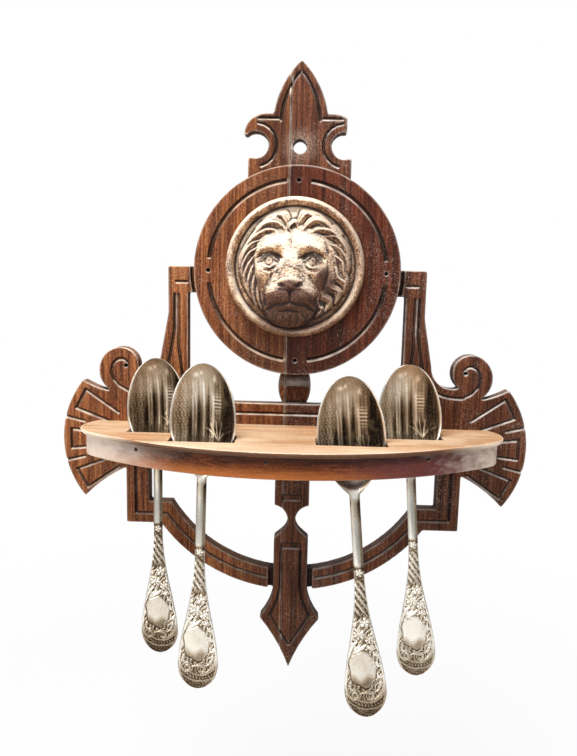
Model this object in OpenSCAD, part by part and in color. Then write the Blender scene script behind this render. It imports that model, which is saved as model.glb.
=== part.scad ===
/* [Back boards] */
// Thickness of the two fret-cut boards
board_t = 7; // [6:0.5:9]
// Distance of the glue line between the boards from the middle, to the left
glue_x = 4.5; // [4:0.5:5.5]
// Width across the two fans
fan_span = 228; // [224:1:236]
// Radius of a fan's outer edge
fan_r = 47; // [44:1:50]
// Drop from the shelf's top to the fans' centres
fan_drop = 9.5; // [7:0.5:12]

/* [Crest] */
// Diameter of the hanging hole
hole_d = 6.4; // [4:0.2:7]
// Height of the crest's tip above the hole
crest_h = 38; // [34:1:44]
// Half width of the leaf at its foot
leaf_w = 12.5; // [11:0.5:14]
// Height of the leaf's foot above the hole
leaf_z = 14; // [13:0.5:16]
// Radius of the hooks' round backs
hook_r = 10; // [9:0.5:11]
// Radius of the round cut under each hook
hook_cut_r = 6; // [5:0.5:6.5]
// Distance of that cut's centre from the middle
hook_cut_x = 20.5; // [19.5:0.5:22]
// Half width of the crest's foot
crest_foot_w = 24; // [22:0.5:28]
// Half width that is left of the chipped right hook
chip_x = 21.5; // [20.5:0.5:26]

/* [Roundel and medallion] */
// Diameter of the roundel
roundel_d = 96.5; // [92:0.5:98]
// Thickness of the roundel
roundel_t = 6; // [5:0.5:9]
// Drop from the hanging hole to the roundel's centre
roundel_drop = 57.5; // [55:0.5:60]
// Radius of the broken ring groove on the roundel
ring_r = 41.5; // [40:0.5:43]
// Length of each break in the ring groove
ring_break = 11; // [8:1:16]
// Diameter of the drilled dots
dot_d = 2; // [1.4:0.2:3]
// Diameter of the medallion
medallion_d = 64; // [58:1:74]
// How far the medallion sits left of the roundel's middle
medallion_x = 0.9; // [0:0.1:2]
// How far the medallion sits above the roundel's middle
medallion_up = 1.9; // [0:0.1:3]
// Height of the medallion's rim
rim_h = 6; // [4:0.5:8]
// Width of the medallion's round rim
rim_w = 4; // [3:0.5:6]
// Thickness of the medallion's floor
medallion_floor = 2.5; // [1.5:0.5:4]
// Height of the lion's nose above the floor
lion_relief = 13; // [8:1:16]

/* [Arms and uprights] */
// Height of the arms
arm_h = 12.5; // [10:0.5:16]
// Distance of the uprights' outer edges from the middle
upright_x = 61.5; // [60:0.5:63]
// Width of the uprights
upright_w = 9.5; // [8:0.5:11]
// Radius of the valley between an upright and its scroll
valley_r = 10.8; // [10:0.2:12]
// Radius of a scroll's head
scroll_r = 9; // [8:0.5:10]
// Distance of the scrolls' centres from the middle
scroll_x = 85; // [83:0.5:87]
// Height of the scrolls' centres above the shelf's top
scroll_rise = 27.5; // [26:0.5:30]

/* [Shelf] */
// Drop from the hanging hole to the shelf's top
shelf_drop = 131.5; // [129:0.5:134]
// Width of the shelf
shelf_w = 198.6; // [196:0.2:204]
// Distance of the shelf's middle to the left of the boards' middle
shelf_x = 1.2; // [0:0.2:2]
// Depth of the shelf from the wall to its front
shelf_depth = 61; // [59:0.5:64]
// Radius of the shelf's bowed front
bow_r = 160; // [156:1:170]
// Distance from the shelf's front back to its widest place
widest_y = 43; // [42:0.5:44]
// Thickness of the shelf
shelf_t = 2.3; // [2:0.1:4]
// Thickness of the upper step of the shelf's moulded edge
step_t = 1.4; // [1:0.1:1.6]
// Setback of the lower step of that edge
step_in = 0.8; // [0.4:0.1:1.4]
// Height of the apron under the shelf
apron_h = 10; // [7:0.5:14]
// Thickness of the apron
apron_t = 3.5; // [3:0.5:4]
// Overhang of the shelf past the apron
overhang = 2.5; // [2:0.25:3.5]
// Height of the rail above the shelf
rail_h = 10.5; // [9:0.5:12]
// Height of the rail below the shelf
rail_below = 18; // [14:1:20]

/* [Slots and spoons] */
// Length of a spoon
spoon_l = 150; // [140:1:160]
// Width of a spoon's bowl
bowl_w = 29.5; // [27:0.5:31]
// Length of a spoon's bowl
bowl_l = 53; // [51:1:56]
// Depth of a spoon's bowl
bowl_depth = 6.5; // [5:0.5:7]
// Height of a bowl's tip above the shelf
bowl_rise = 33.5; // [32:0.5:35]
// Width of a spoon's stem
stem_w = 4.4; // [3.6:0.2:6]
// Width of a spoon's handle near its end
handle_w = 18.5; // [15:0.5:20]
// Thickness of a spoon's handle
handle_t = 2.2; // [1.6:0.2:3]
// Thickness of a spoon's bowl
bowl_t = 1.2; // [1:0.1:1.6]
// Width of the slots
slot_w = 13.4; // [13:0.1:14]
// Part of a slot's width that lies in front of the bowl's rim
slot_front = 5.2; // [4.8:0.1:5.4]
// Room between a bowl and the ends of its slot
slot_clear = 0.35; // [0.3:0.05:0.5]
// Arch of a spoon's handle, forwards
handle_arch = 2; // [1:0.25:2.25]
// Sweep of the end of a spoon's handle, forwards
handle_sweep = 3; // [2:0.25:3.5]
// Distance of the outer left slot from the middle
outer_left_x = 63; // [61:0.5:66]
// Distance of the inner left slot from the middle
inner_left_x = 39.5; // [34:0.5:42]
// Distance of the inner right slot from the middle
inner_right_x = 26; // [22:0.5:36]
// Distance of the outer right slot from the middle
outer_right_x = 54; // [52:0.5:64]
// Distance from the wall to the bowls' rims in the outer slots
outer_y = 25; // [24.5:0.5:27]
// Distance from the wall to the bowls' rims in the inner slots
inner_y = 40.5; // [40:0.5:41]

/* [Lower frame] */
// Outer radius of the arc straps
strap_r = 81; // [78:1:82]
// Width of the arc straps
strap_w = 10.4; // [10:0.1:13]
// Drop from the shelf's top to the arc straps' centre
strap_drop = 4.5; // [2:0.5:7]
// Distance of the key corners' outer edges from the middle
key_x = 83; // [81:0.5:85]
// Width of the key corners' legs
key_w = 11.5; // [9:0.5:12]
// Height of the key corners' feet
key_foot = 11; // [9:0.5:13]
// Drop from the shelf's top to the key corners' lower edges
key_drop = 52; // [50:0.5:54]
// Half width of the block under the shelf and of the pendant
neck_w = 8.6; // [7.6:0.2:9.6]
// Half width of the narrow waist
waist_w = 1.9; // [1.6:0.1:3]
// Drop from the shelf's top to the waist
waist_drop = 48.7; // [47:0.1:50]
// Half width of the arrow head
arrow_w = 15.2; // [13:0.2:18]
// Height of the arrow head's barbs above its tip
arrow_h = 27; // [24:0.5:30]
// Drop from the shelf's top to the pendant's tip
pendant_drop = 128; // [124:1:134]

/* [Carving] */
// Width of the carved grooves
groove_w = 1.7; // [1.2:0.1:2]
// Depth of the carved grooves
groove_d = 1.2; // [0.6:0.1:1.6]
// Depth of the sunk bands where one strap passes under another
sunk_d = 2.4; // [1.5:0.1:3]
// Width of those sunk bands
sunk_w = 2.6; // [2:0.1:3.4]

/* [Fixings] */
// Diameter of the screws' shanks
screw_d = 2.8; // [2:0.2:3.4]
// Diameter of the screws' heads
screw_head_d = 5.6; // [5:0.2:6.4]
// Depth that the screws reach into the piece they hold
screw_bite = 4; // [3:0.5:4.5]
// Distance of the roundel's screws from its centre
screw_ring_r = 28; // [24:1:32]
// Height and depth of the cleat under the shelf
cleat_s = 6; // [5:0.25:6.25]
// Length of the cleat
cleat_l = 150; // [140:2:160]
// Diameter of the apron's nails
pin_d = 1.5; // [1:0.1:2]
// Length of the apron's nails
pin_l = 7.5; // [6:0.5:8]
// Depth of the glue blocks behind the apron
block_d = 6; // [5:0.5:6.5]
// Width of the glue blocks in degrees of the bowed front
block_a = 4.4; // [3:0.2:5]

/* [Hidden] */
$fn = 64;

walnut_red = "#6b3f28";
walnut_dark = "#553730";
walnut_pale = "#a07850";
limewood = "#b7a78c";
iron = "#4a4642";
silver = "#a79c8a";

// Cutters reach this far past the faces that they open
over = 1;
// Play round a screw or nail, on the diameter
play = 0.1;
// Room for the glue between a glue block and the apron
glue_gap = 0.05;
// Depth of the drilled dots
dot_depth = 2;
// Height above the shelf at which a bowl's width sets its slot's length
slot_seat = 1.2;
// Side of a square larger than the rack
huge = 400;

roundel_r = roundel_d / 2;
roundel_z = -roundel_drop;
roundel_front = board_t + roundel_t;
// The boards stop this far inside the roundel's edge
hidden_rim = 3;
hidden_r = roundel_r - hidden_rim;
medallion_r = medallion_d / 2;
arm_top = roundel_z + 2;
shelf_z = -shelf_drop;
rail_top = shelf_z + rail_h;
rail_low = shelf_z - rail_below;
fan_c = [fan_span / 2 - fan_r, shelf_z - fan_drop];
// Half angle of a fan between its two corners
fan_a = 38.5;
scroll_c = [scroll_x, shelf_z + scroll_rise];
valley_c = scroll_c + [-8.5, 3];
// The scroll's fuller cheek, and the notch where it meets the fan
cheek_shift = 2.8;
cheek_c = scroll_c - cheek_shift * [0.42, 0.91];
cheek_r = scroll_r + cheek_shift;
// Directions of the seam between head and cheek, and of the notch
cheek_a = 65;
notch_a = -62;
notch = cheek_c + cheek_r * [cos(notch_a), sin(notch_a)];
eye_c = scroll_c + [-2.5, 0];
strap_z = shelf_z - strap_drop;
strap_in = strap_r - strap_w;
key_low = shelf_z - key_drop;
waist_z = shelf_z - waist_drop;
block_low = waist_z + 7.7;
// Radius of the round notches that make the waist
waist_r = (pow(neck_w - waist_w, 2) + pow(block_low - waist_z, 2)) / (2 * (neck_w - waist_w));
shoulder_z = waist_z - 9.5;
pendant_z = shelf_z - pendant_drop;
arrow_z = pendant_z + arrow_h;
flare_z = strap_z - strap_r + 1;
hook_c = [hook_cut_x - 4.5, leaf_z - hook_r + 0.5];
// Height of the crest's foot and of the hooks' tips
foot_z = 0.8 - hook_cut_r;
hook_tip_z = hook_c[1];
bulb_z = (roundel_z - roundel_r + rail_top) / 2;
// Half widths of the bulb where the roundel hides it, and at its fullest
bulb_top_w = 6.5;
bulb_w = 7.9;

bow_c = bow_r - shelf_depth;
shelf_half = shelf_w / 2;
widest_c = shelf_depth - widest_y;
// Radius of the shelf's ends, which run tangent into its bowed front
end_r = (pow(bow_r, 2) - pow(shelf_half, 2) - pow(bow_c + widest_c, 2)) / (2 * (bow_r - shelf_half));
end_x = shelf_half - end_r;
// Depth of the curve at the back of the shelf's ends
end_back = 11;
apron_in = overhang + apron_t;
cleat_z = shelf_z - shelf_t;
cleat_screw_x = [-56, -20, 20, 56];
pin_angles = [-25.2, -3.4, 22.3];

// Each spoon: place along the shelf, distance of its rim from the wall, lean to the side in degrees,
// swing forwards in degrees, how far it has sunk into its slot, and its size against the others
outer_left = [-outer_left_x, outer_y, 0.7, 0, -1.7, 0.95];
inner_left = [-inner_left_x, inner_y, -0.7, 0, 0, 1];
inner_right = [inner_right_x, inner_y, 5, 1.5, 5.2, 1.035];
outer_right = [outer_right_x, outer_y, 4, 0, 0, 1];
SPOONS = [outer_left, inner_left, inner_right, outer_right];

// Points of an arc round c from angle a to angle b
function arc(c, r, a, b, n = 10) = [for (i = [0:n]) let (t = a + (b - a) * i / n) c + r * [cos(t), sin(t)]];
function angle_of(v) = atan2(v[1], v[0]);
// Points of an arc of radius r from p to q that bulges to the left of the way
function bulge(p, q, r, n = 8) = let (d = q - p, l = norm(d), m = (p + q) / 2,
    c = m + sqrt(r * r - l * l / 4) * [d[1], -d[0]] / l,
    a = angle_of(p - c), b = angle_of(q - c)) arc(c, r, a, b > a ? b - 360 : b, n);
function reversed(list) = [for (i = [len(list) - 1:-1:0]) list[i]];
function unit(v) = v / norm(v);
function left_of(v) = [-v[1], v[0]];
function bump(x, y, sx, sy) = exp(-pow(x / sx, 2) - pow(y / sy, 2));

// Outlines lie in the wall's plane, x to the right and y up. The right half is drawn and mirrored.
module both_sides() {
    children();
    mirror([1, 0, 0]) children();
}

// Stands an outline up with its back at the given distance from the wall
module upright(from, thickness) {
    translate([0, -from, 0]) rotate([90, 0, 0]) linear_extrude(thickness) children();
}

// Right half of the boards' outer contour, from the crest's tip down to the pendant's tip
function outer_contour() = let (leaf_foot = [leaf_w, leaf_z + 0.5],
    high = fan_c + fan_r * [cos(fan_a), sin(fan_a)], low = fan_c + fan_r * [cos(fan_a), -sin(fan_a)],
    root = [key_x, fan_c[1] - 14], barb = [arrow_w, arrow_z],
    strap_end = [neck_w, strap_z - sqrt(pow(strap_r, 2) - pow(neck_w, 2))]) concat(
    bulge([0, crest_h], leaf_foot, 42),
    arc(hook_c, hook_r, 90, 4, 8),
    arc([hook_cut_x, 0.5], hook_cut_r, 45, 285, 12),
    [[crest_foot_w, foot_z]],
    arc([0, roundel_z], hidden_r, acos(crest_foot_w / hidden_r), asin((arm_top - roundel_z) / hidden_r)),
    [[upright_x, arm_top], [upright_x, scroll_c[1] + 26]],
    arc(valley_c, valley_r, 178, 290, 8),
    arc(scroll_c, scroll_r, 228, cheek_a, 12),
    arc(cheek_c, cheek_r, cheek_a - 10, notch_a + 10, 9),
    reversed(bulge(high, notch, 40, 5)),
    arc(fan_c, fan_r, fan_a - 4, 4 - fan_a, 18),
    reversed(bulge(root, low, 70, 5)),
    [[key_x, key_low]],
    arc([0, strap_z], strap_r, -asin((strap_z - key_low) / strap_r), -acos((neck_w + 4) / strap_r), 14),
    reversed(bulge(barb, strap_end, 30, 6)),
    [for (i = [4:-1:1]) bulge([0, pendant_z], barb, 90, 5)[i]],
    [[0, pendant_z]]);

// The bulb's round right side, from the roundel's edge down to the rail
function bulb_side(n = 8) = let (top = roundel_z - roundel_r) [for (i = [0:n]) let (t = i / n)
    [bulb_w * sqrt(1 - pow((t - 0.42) / 0.82, 2)), top + (rail_top - top) * t]];

// Opening between the roundel, the right upright, the rail and the bulb
function upper_gap() = let (low = arm_top - arm_h) concat(
    arc([0, roundel_z], hidden_r, -asin((roundel_z - low) / hidden_r), -acos(bulb_top_w / hidden_r)),
    bulb_side(),
    [[upright_x - upright_w, rail_top], [upright_x - upright_w, low]]);

// Opening between the rail, the right key corner, the arc strap and the pendant
function lower_gap() = let (x = key_x - key_w, z = key_low + key_foot) concat(
    [[neck_w, rail_low]],
    arc([waist_w + waist_r, waist_z], waist_r, 180 - asin((block_low - waist_z) / waist_r), 230, 12),
    [[neck_w, shoulder_z]],
    arc([0, strap_z], strap_in, -acos(neck_w / strap_in), -asin((strap_z - z) / strap_in), 12),
    [[x, z], [x, rail_low]]);

module board_outline() {
    right = outer_contour();
    difference() {
        polygon(concat(right, [for (i = [len(right) - 2:-1:1]) [-right[i][0], right[i][1]]]));
        both_sides() polygon(upper_gap());
        both_sides() polygon(lower_gap());
    }
}

// One V-shaped groove along a path on the boards' front, pointed at both ends
module groove(path) {
    lift = 0.4;
    half = groove_w / 2 * (1 + lift / groove_d);
    last = len(path) - 1;
    way = [for (i = [0:last - 1]) unit(path[i + 1] - path[i])];
    side = [for (i = [0:last])
        let (a = left_of(way[max(i - 1, 0)]), b = left_of(way[min(i, last - 1)]), m = unit(a + b))
        m * half / max(m * a, 0.5)];
    tips = [path[0] - way[0] * groove_w, path[last] + way[last - 1] * groove_w];
    top = -board_t - lift;
    points = concat([for (i = [0:last]) each [
            [path[i][0] + side[i][0], top, path[i][1] + side[i][1]],
            [path[i][0] - side[i][0], top, path[i][1] - side[i][1]],
            [path[i][0], groove_d - board_t, path[i][1]]]],
        [for (t = tips) [t[0], top, t[1]]]);
    start = 3 * last + 3;
    end = start + 1;
    n = 3 * last;
    faces = concat([for (i = [0:last - 1], k = 3 * i) each [
            [k, k + 3, k + 4], [k, k + 4, k + 1],
            [k + 3, k, k + 2], [k + 3, k + 2, k + 5],
            [k + 1, k + 4, k + 5], [k + 1, k + 5, k + 2]]],
        [[start, 0, 1], [0, start, 2], [start, 1, 2]],
        [[n, end, n + 1], [end, n, n + 2], [n + 1, end, n + 2]]);
    polyhedron(points, faces);
}

module leaf_groove() {
    groove(bulge([0.8, crest_h - 5.5], [leaf_w - 3.4, leaf_z - 2.5], 38));
}

module hook_grooves() {
    groove([[leaf_w - 2.4, leaf_z - 1.7], [hook_cut_x - 1, leaf_z - 1.7]]);
    groove(arc([hook_cut_x, 0.5], hook_cut_r + 3.8, 95, 255, 9));
}

// The line down the upright that runs round the valley and winds up at the scroll's eye
module scroll_groove() {
    x = upright_x - 3;
    turns = [for (i = [0:9])
        let (u = i / 9, a = -95 + 210 * u, r = (cheek_r + 0.6) * (1 - 0.88 * pow(u, 0.8)))
        eye_c + r * [cos(a), sin(a)]];
    groove(concat([[x, arm_top - arm_h - 1], [x, scroll_c[1] + 18]],
        arc(valley_c, valley_r + 4.2, 188, 268, 6), turns));
    translate([eye_c[0], dot_depth - board_t, eye_c[1]]) rotate([90, 0, 0])
        cylinder(d = dot_d, h = dot_depth + over);
}

module upright_grooves() {
    x = upright_x - 5;
    arm_mid = arm_top - 0.6 * arm_h;
    side = [[x, arm_top - arm_h - 1], [x, scroll_c[1] + 10], [x - 2, scroll_c[1] - 6], [x - 1, rail_top - 3]];
    groove(side);
    groove([[roundel_r + sunk_w + 1.5, arm_mid], [upright_x - 4, arm_mid]]);
}

// Three sunk panels and two rays
module fan_grooves() {
    reach = fan_r - 3.8;
    spot = [for (a = [-35, -21, -6.5, 6.5, 21, 35]) [cos(a), sin(a)]];
    inner = [for (r = [0.5, 0.55, 0.72, 0.72, 0.55, 0.5]) r * fan_r];
    for (i = [0, 2, 4])
        groove([fan_c + inner[i] * spot[i], fan_c + reach * spot[i], fan_c + reach * spot[i + 1],
            fan_c + inner[i + 1] * spot[i + 1]]);
    for (a = [-13.7, 13.7])
        groove([for (r = [0.8 * fan_r, fan_r + over]) fan_c + r * [cos(a), sin(a)]]);
}

module strap_groove() {
    r = strap_r - 5.5;
    x = key_x - 4.7;
    z = key_low + 5;
    turn = asin((strap_z - z) / r);
    stop = acos((neck_w + sunk_w + 1.5) / r);
    groove(concat([[x, rail_low - 3], [x, z]], arc([0, strap_z], r, -turn, -stop, 12)));
}

module pendant_groove() {
    z = shoulder_z - 4;
    groove([[4.9, z - 2.5], [4.9, flare_z], [6.4, arrow_z + 10], [arrow_w - 5.2, arrow_z + 1.5],
        [5, arrow_z - 7], [0.4, pendant_z + 12.5]]);
}

module rail_groove() {
    x = upright_x - 8;
    groove([[-x, rail_top - 5], [x, rail_top - 5]]);
}

// A short hollow scooped across the pendant with a gouge
module scoop(z) {
    radius = 3;
    translate([-5, -board_t - 2.2, z]) rotate([0, 90, 0]) cylinder(r = radius, h = 10);
}

// Sunk bands where the straps pass under the roundel and the pendant
module sunk_bands() {
    translate([0, -board_t, roundel_z]) rotate([90, 0, 0])
        intersection() {
            rotate_extrude() translate([roundel_r - over, -sunk_d]) square([sunk_w + over, sunk_d + over]);
            translate([-huge / 2, 20 - huge, -huge / 2]) cube(huge);
        }
    both_sides() translate([neck_w, -board_t - over, flare_z - over])
        cube([sunk_w, sunk_d + over, strap_w + 4]);
}

// The little bulb under the roundel has two sloping faces that meet in a ridge
module bulb_bevels() {
    slope = 2.2;
    ridge = bulb_z + 1;
    rotate([90, 0, 90]) translate([-board_t, 0, -10]) linear_extrude(20) {
        polygon([[0, ridge], [slope, rail_top], [-over, rail_top], [-over, ridge]]);
        polygon([[0, ridge], [-over, ridge], [-over, ridge + 5], [slope, ridge + 5]]);
    }
}

module screw(length, grow = 0) {
    head_h = (screw_head_d - screw_d) / 2;
    rotate([90, 0, 0]) {
        cylinder(d1 = screw_head_d + grow, d2 = screw_d + grow, h = head_h);
        cylinder(d = screw_d + grow, h = length + grow);
    }
}

module at_roundel_screws() {
    for (a = [45:90:315]) translate([0, 0, roundel_z] + screw_ring_r * [cos(a), 0, sin(a)]) children();
}

module at_cleat_screws() {
    for (x = cleat_screw_x) translate([x, 0, cleat_z - cleat_s / 2]) children();
}

screw_l = board_t + screw_bite;
module screw_holes() {
    at_roundel_screws() screw(screw_l, play);
    at_cleat_screws() screw(screw_l, play);
}

module beyond_glue_line() {
    translate([-glue_x - huge, -huge]) square([huge, 2 * huge]);
}

// Keeps what lies on one side of the glue line
module left_side() {
    intersection() {
        children();
        beyond_glue_line();
    }
}

module right_side() {
    difference() {
        children();
        beyond_glue_line();
    }
}

module side_grooves() {
    hook_grooves();
    scroll_groove();
    upright_grooves();
    fan_grooves();
    strap_groove();
}

module middle_grooves() {
    both_sides() {
        leaf_groove();
        pendant_groove();
    }
    rail_groove();
    bulb_bevels();
    scoop(block_low + 4);
    scoop(shoulder_z - 4);
    sunk_bands();
}

module back_board_left() {
    color(walnut_red) difference() {
        upright(0, board_t) left_side() board_outline();
        middle_grooves();
        mirror([1, 0, 0]) side_grooves();
        screw_holes();
    }
}

module back_board_right() {
    color(walnut_dark) difference() {
        upright(0, board_t) right_side() difference() {
            board_outline();
            translate([chip_x, hook_tip_z - over]) square([huge, leaf_z - hook_tip_z]);
        }
        middle_grooves();
        side_grooves();
        screw_holes();
        rotate([90, 0, 0]) translate([0, 0, -over]) cylinder(d = hole_d, h = board_t + 2 * over);
    }
}

// Broken ring groove with a drilled dot in each break
module roundel_cuts() {
    gap = ring_break / ring_r * 180 / PI;
    half = 0.7 * groove_w;
    for (a = [0:90:270]) translate([0, -roundel_front, roundel_z]) rotate([90, 0, 0]) {
        rotate([0, 0, a + gap / 2]) rotate_extrude(angle = 90 - gap) translate([ring_r, 0])
            polygon([[-half, over], [-half, 0], [0, -groove_d], [half, 0], [half, over]]);
        rotate([0, 0, a]) translate([ring_r, 0, -dot_depth]) cylinder(d = dot_d, h = dot_depth + over);
    }
    screw_holes();
}

module roundel_left() {
    color(walnut_red) difference() {
        upright(board_t, roundel_t) left_side() translate([0, roundel_z]) circle(roundel_r, $fn = 128);
        roundel_cuts();
    }
}

module roundel_right() {
    color(walnut_dark) difference() {
        upright(board_t, roundel_t) right_side() translate([0, roundel_z]) circle(roundel_r, $fn = 128);
        roundel_cuts();
    }
}

// Height of the lion's head above the medallion's floor, at a place measured in tenths of the dish
function lion(x, z) = let (s = abs(x), head = max(0, 1 - pow(x / 6.6, 2) - pow((z + 0.6) / 8, 2)),
    away = norm([x, z]), lock = 0.5 + 0.5 * cos(away * 100 + 11 * atan2(z, x)))
    0.48 * sqrt(head) + 0.16 * bump(s - 1.6, z - 3.4, 2, 2) + 0.3 * bump(x, z + 3.4, 3, 2.6)
    + 0.24 * bump(x, z + 1.2, 1.3, 3.2) + 0.13 * bump(s - 3.9, z - 0.6, 1.5, 1.6)
    - 0.2 * bump(s - 2.9, z - 1.2, 1.3, 0.9) - 0.14 * bump(x, z + 4.7, 2.4, 0.5)
    + (away > 5 ? 0.3 * lock * bump(away - 7.2, 0, 2.2, 1) : 0);

// Height of the medallion at a distance from its middle, in a direction
function medallion_height(r, a) = let (bead = medallion_r - rim_w / 2, across = (r - bead) / (rim_w / 2),
    ten = 10 / (medallion_r - rim_w))
    abs(across) < 1 ? medallion_floor + (rim_h - medallion_floor) * sqrt(1 - across * across)
    : medallion_floor + (r > bead ? 0 : lion_relief * lion(r * ten * cos(a), r * ten * sin(a)));

module lion_medallion() {
    rings = 25;
    spokes = 60;
    last = 1 + (rings - 1) * spokes;
    radius = [for (i = [1:rings]) medallion_r * pow(i / rings, 0.9)];
    angle = [for (j = [0:spokes - 1]) j * 360 / spokes];
    front = concat([[0, -medallion_height(0, 0), 0]], [for (r = radius, a = angle)
        [r * cos(a), -medallion_height(r, a), r * sin(a)]]);
    back = [for (a = angle) [medallion_r * cos(a), 0, medallion_r * sin(a)]];
    faces = concat([for (j = [0:spokes - 1]) [0, 1 + (j + 1) % spokes, 1 + j]],
        [for (i = [0:rings - 1], j = [0:spokes - 1]) let (k = 1 + i * spokes, m = (j + 1) % spokes) each [
            [k + j, k + m, k + spokes + m], [k + j, k + spokes + m, k + spokes + j]]],
        [[for (j = [0:spokes - 1]) last + spokes + j]]);
    color(limewood) translate([-medallion_x, -roundel_front, roundel_z + medallion_up])
        polyhedron(concat(front, back), faces);
}

// The shelf seen from above, x to the right and y away from the wall, drawn smaller by inset
module shelf_outline(inset) {
    r = end_r - inset;
    back_c = min(widest_c, board_t + end_back);
    back = r > back_c - board_t ? asin((back_c - board_t) / r) : 90;
    seam = atan2(bow_c + widest_c, end_x);
    right = concat([[end_x + r * cos(back), board_t]], arc([end_x, back_c], r, -back, 0, 5),
        arc([end_x, widest_c], r, seam / 7, seam, 6), arc([0, -bow_c], bow_r - inset, seam + 2, 90, 15));
    translate([-shelf_x, 0])
        polygon(concat(right, [for (i = [len(right) - 2:-1:0]) [-right[i][0], right[i][1]]]));
}

// Lays an outline of the shelf down with its top at the given height
module flat(top, thickness) {
    translate([0, 0, top - thickness]) linear_extrude(thickness) mirror([0, 1]) children();
}

// Half width of a bowl at a height above the shelf, fullest half way along
function bowl_half(z) = let (u = (bowl_rise - z) / bowl_l)
    bowl_w / 2 * (u < 0.5 ? sqrt(1 - pow(1 - 2 * u, 2)) : 1 - pow(2 * u - 1, 2));
// Half length of a spoon's slot, where its bowl goes through the shelf
function slot_half(place) = place[5] * bowl_half((slot_seat + place[4]) / place[5]) + slot_clear;

module slots() {
    for (s = SPOONS) translate([s[0] - slot_half(s), s[1] + slot_front - slot_w])
        square([2 * slot_half(s), slot_w]);
}

module shelf_top() {
    color(walnut_pale) difference() {
        union() {
            flat(shelf_z, step_t) shelf_outline(0);
            flat(shelf_z - step_t, shelf_t - step_t) shelf_outline(step_in);
        }
        flat(shelf_z + over, shelf_t + 2 * over) slots();
    }
}

pin_z = cleat_z - 2.5;
module at_apron_pins() {
    for (a = pin_angles) translate([-shelf_x, bow_c, pin_z]) rotate([0, 0, a])
        translate([0, overhang - bow_r, 0]) rotate([-90, 0, 0]) children();
}

module pin_holes() {
    at_apron_pins() translate([0, 0, -over]) cylinder(d = pin_d + play, h = pin_l + over);
}

module shelf_apron() {
    color(walnut_red) difference() {
        flat(cleat_z, apron_h) difference() {
            shelf_outline(overhang);
            shelf_outline(apron_in);
        }
        pin_holes();
    }
}

module shelf_cleat() {
    color(walnut_dark) difference() {
        translate([-cleat_l / 2, -board_t - cleat_s, cleat_z - cleat_s]) cube([cleat_l, cleat_s, cleat_s]);
        screw_holes();
    }
}

module glue_blocks() {
    height = apron_h - 2;
    color(walnut_dark) difference() {
        for (a = pin_angles) translate([-shelf_x, bow_c, cleat_z - height])
            rotate([0, 0, a - 90 - block_a / 2])
            rotate_extrude(angle = block_a) translate([bow_r - apron_in - block_d, 0])
                square([block_d - glue_gap, height]);
        pin_holes();
    }
}

module apron_pins() {
    color(iron) at_apron_pins() cylinder(d = pin_d, h = pin_l);
}

module cleat_screws() {
    color(iron) at_cleat_screws() screw(screw_l);
}

module roundel_screws() {
    color(iron) at_roundel_screws() screw(screw_l);
}

// One teaspoon, bowl up, its bowl's rim in the plane y = 0 and the shelf's top at z = 0
handle_l = spoon_l - bowl_l;
neck_z = bowl_rise - bowl_l;
function ease(t) = let (c = min(max(t, 0), 1)) c * c * (3 - 2 * c);
// Half width of the handle at a share of its length from the bowl
function handle_half(v) = let (broad = 0.86, flare = pow(max((v - 0.33) / 0.567, 0), 1.15),
    spread = stem_w + (handle_w - stem_w) * ease(flare))
    spread / 2 * (v < broad ? 1 : sqrt(max(0.01, 1 - pow((v - broad) / (1 - broad), 2.5))));
// Each ring of a spoon: height, half width, depth of the hollow, thickness, place forwards
function bowl_ring(u) = let (z = bowl_rise - bowl_l * u)
    [z, max(bowl_half(z), stem_w / 2 * ease(3 * u)), bowl_depth * pow(max(1 - pow(2 * u - 1, 2), 0), 0.8),
    bowl_t, 0];
function handle_ring(v) = [neck_z - handle_l * v, handle_half(v), 0,
    bowl_t + (handle_t - bowl_t) * ease(4 * v), -handle_arch * sin(180 * v) - handle_sweep * v * v];

module spoon(place) {
    across = 6;
    rings = concat([for (i = [0:15]) bowl_ring(0.003 + 0.997 * (1 - cos(i * 12)) / 2)],
        [for (i = [1:18]) handle_ring(sin(i * 5))]);
    section = [for (j = [0:across]) 2 * j / across - 1];
    around = 2 * (across + 1);
    points = [for (r = rings, side = [-1, 1], j = [0:across]) let (s = section[side < 0 ? j : across - j],
        belly = 1 - s * s, depth = r[4] + r[2] * belly + side * r[3] * (0.3 + 0.2 * belly))
        place[5] * [s * r[1], depth, r[0]] - [0, 0, place[4]]];
    last = (len(rings) - 1) * around;
    faces = concat([[for (j = [0:around - 1]) j]], [[for (j = [around - 1:-1:0]) last + j]],
        [for (k = [0:around:last - 1], j = [0:around - 1]) let (m = (j + 1) % around) each [
            [k + j, k + around + j, k + around + m], [k + j, k + around + m, k + m]]]);
    color(silver) translate([place[0], -place[1], shelf_z]) rotate([0, -place[2], 0])
        rotate([-place[3], 0, 0]) polyhedron(points, faces);
}

module spoon_outer_left() { spoon(outer_left); }
module spoon_inner_left() { spoon(inner_left); }
module spoon_inner_right() { spoon(inner_right); }
module spoon_outer_right() { spoon(outer_right); }

back_board_left();
back_board_right();
roundel_left();
roundel_right();
lion_medallion();
shelf_top();
shelf_apron();
shelf_cleat();
glue_blocks();
apron_pins();
cleat_screws();
roundel_screws();
spoon_outer_left();
spoon_inner_left();
spoon_inner_right();
spoon_outer_right();
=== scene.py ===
"""A carved walnut spoon rack with four silver teaspoons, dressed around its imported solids."""
import math

import bpy
import numpy as np
from mathutils import Matrix, Vector


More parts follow.
